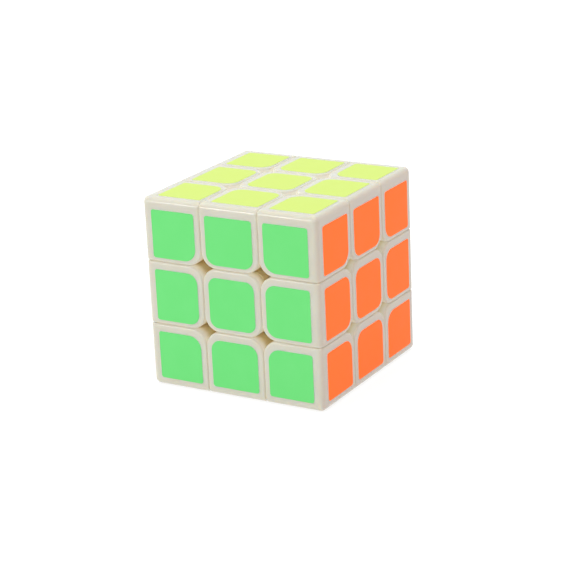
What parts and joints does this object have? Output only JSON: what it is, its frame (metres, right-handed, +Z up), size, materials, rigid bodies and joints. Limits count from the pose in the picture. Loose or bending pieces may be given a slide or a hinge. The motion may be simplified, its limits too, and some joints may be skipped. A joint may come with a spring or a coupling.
{
  "type": "twisty puzzle cube",
  "caption": "Three-layer twisty puzzle cube in ivory plastic with vinyl stickers; layers turn on a sprung core inside.",
  "frame": {"origin": "middle of the bottom face, on the outside of its sticker, where the cube stands", "axes": "+Z up out of the top (yellow) face, -Y out of the front (green) face, +X out of the right (orange) face"},
  "size_m": [0.057, 0.057, 0.057],
  "materials": {
    "shell_plastic": "ivory moulded ABS, satin gloss, rounded edges",
    "inner_plastic": "ivory moulded ABS, satin, lightly greased",
    "screw_steel": "zinc-plated steel screw",
    "spring_steel": "drawn spring wire",
    "sticker_yellow": "fluorescent lemon vinyl, semi-matt",
    "sticker_green": "fluorescent green vinyl, semi-matt",
    "sticker_orange": "fluorescent orange vinyl, semi-matt",
    "sticker_blue": "blue vinyl, semi-matt",
    "sticker_red": "red vinyl, semi-matt",
    "sticker_white": "white vinyl, semi-matt"
  },
  "bodies": {
    "root": {"core": "inner_plastic", "core_screws": "screw_steel", "core_springs": "spring_steel", "edge_feet_middle": "inner_plastic", "edge_shell_back_left": "shell_plastic", "edge_shell_back_right": "shell_plastic", "edge_shell_front_left": "shell_plastic", "edge_shell_front_right": "shell_plastic", "middle_layer_blue_stickers": "sticker_blue", "middle_layer_green_stickers": "sticker_green", "middle_layer_orange_stickers": "sticker_orange", "middle_layer_red_stickers": "sticker_red"},
    "top_layer": {"corner_feet_top": "inner_plastic", "corner_shell_top_back_left": "shell_plastic", "corner_shell_top_back_right": "shell_plastic", "corner_shell_top_front_left": "shell_plastic", "corner_shell_top_front_right": "shell_plastic", "edge_feet_top": "inner_plastic", "edge_shell_top_back": "shell_plastic", "edge_shell_top_front": "shell_plastic", "edge_shell_top_left": "shell_plastic", "edge_shell_top_right": "shell_plastic", "top_layer_blue_stickers": "sticker_blue", "top_layer_green_stickers": "sticker_green", "top_layer_orange_stickers": "sticker_orange", "top_layer_red_stickers": "sticker_red", "top_layer_yellow_stickers": "sticker_yellow"},
    "bottom_layer": {"bottom_layer_blue_stickers": "sticker_blue", "bottom_layer_green_stickers": "sticker_green", "bottom_layer_orange_stickers": "sticker_orange", "bottom_layer_red_stickers": "sticker_red", "bottom_layer_white_stickers": "sticker_white", "corner_feet_bottom": "inner_plastic", "corner_shell_bottom_back_left": "shell_plastic", "corner_shell_bottom_back_right": "shell_plastic", "corner_shell_bottom_front_left": "shell_plastic", "corner_shell_bottom_front_right": "shell_plastic", "edge_feet_bottom": "inner_plastic", "edge_shell_bottom_back": "shell_plastic", "edge_shell_bottom_front": "shell_plastic", "edge_shell_bottom_left": "shell_plastic", "edge_shell_bottom_right": "shell_plastic"},
    "top_centre": {"centre_base_top": "inner_plastic", "centre_cap_top": "shell_plastic", "top_centre_sticker": "sticker_yellow"},
    "bottom_centre": {"bottom_centre_sticker": "sticker_white", "centre_base_bottom": "inner_plastic", "centre_cap_bottom": "shell_plastic"},
    "front_centre": {"centre_base_front": "inner_plastic", "centre_cap_front": "shell_plastic", "front_centre_sticker": "sticker_green"},
    "back_centre": {"back_centre_sticker": "sticker_blue", "centre_base_back": "inner_plastic", "centre_cap_back": "shell_plastic"},
    "left_centre": {"centre_base_left": "inner_plastic", "centre_cap_left": "shell_plastic", "left_centre_sticker": "sticker_red"},
    "right_centre": {"centre_base_right": "inner_plastic", "centre_cap_right": "shell_plastic", "right_centre_sticker": "sticker_orange"}
  },
  "joints": [
    {"name": "top_layer_turn", "type": "hinge", "parent": "root", "child": "top_layer", "pos_m": [0, 0, 0.0285], "axis": [0, 0, 1], "continuous": true},
    {"name": "bottom_layer_turn", "type": "hinge", "parent": "root", "child": "bottom_layer", "pos_m": [0, 0, 0.0285], "axis": [0, 0, -1], "continuous": true},
    {"name": "top_centre_lift", "type": "slide", "parent": "top_layer", "child": "top_centre", "axis": [0, 0, 1], "range_m": [0, 0.001], "stiffness_N_per_m": 800, "springref_m": -0.002, "deforming": ["core_springs"]},
    {"name": "bottom_centre_lift", "type": "slide", "parent": "bottom_layer", "child": "bottom_centre", "axis": [0, 0, -1], "range_m": [0, 0.001], "stiffness_N_per_m": 800, "springref_m": -0.002, "deforming": ["core_springs"]},
    {"name": "front_centre_lift", "type": "slide", "parent": "root", "child": "front_centre", "axis": [0, -1, 0], "range_m": [0, 0.001], "stiffness_N_per_m": 800, "springref_m": -0.002, "deforming": ["core_springs"]},
    {"name": "back_centre_lift", "type": "slide", "parent": "root", "child": "back_centre", "axis": [0, 1, 0], "range_m": [0, 0.001], "stiffness_N_per_m": 800, "springref_m": -0.002, "deforming": ["core_springs"]},
    {"name": "left_centre_lift", "type": "slide", "parent": "root", "child": "left_centre", "axis": [-1, 0, 0], "range_m": [0, 0.001], "stiffness_N_per_m": 800, "springref_m": -0.002, "deforming": ["core_springs"]},
    {"name": "right_centre_lift", "type": "slide", "parent": "root", "child": "right_centre", "axis": [1, 0, 0], "range_m": [0, 0.001], "stiffness_N_per_m": 800, "springref_m": -0.002, "deforming": ["core_springs"]}
  ]
}
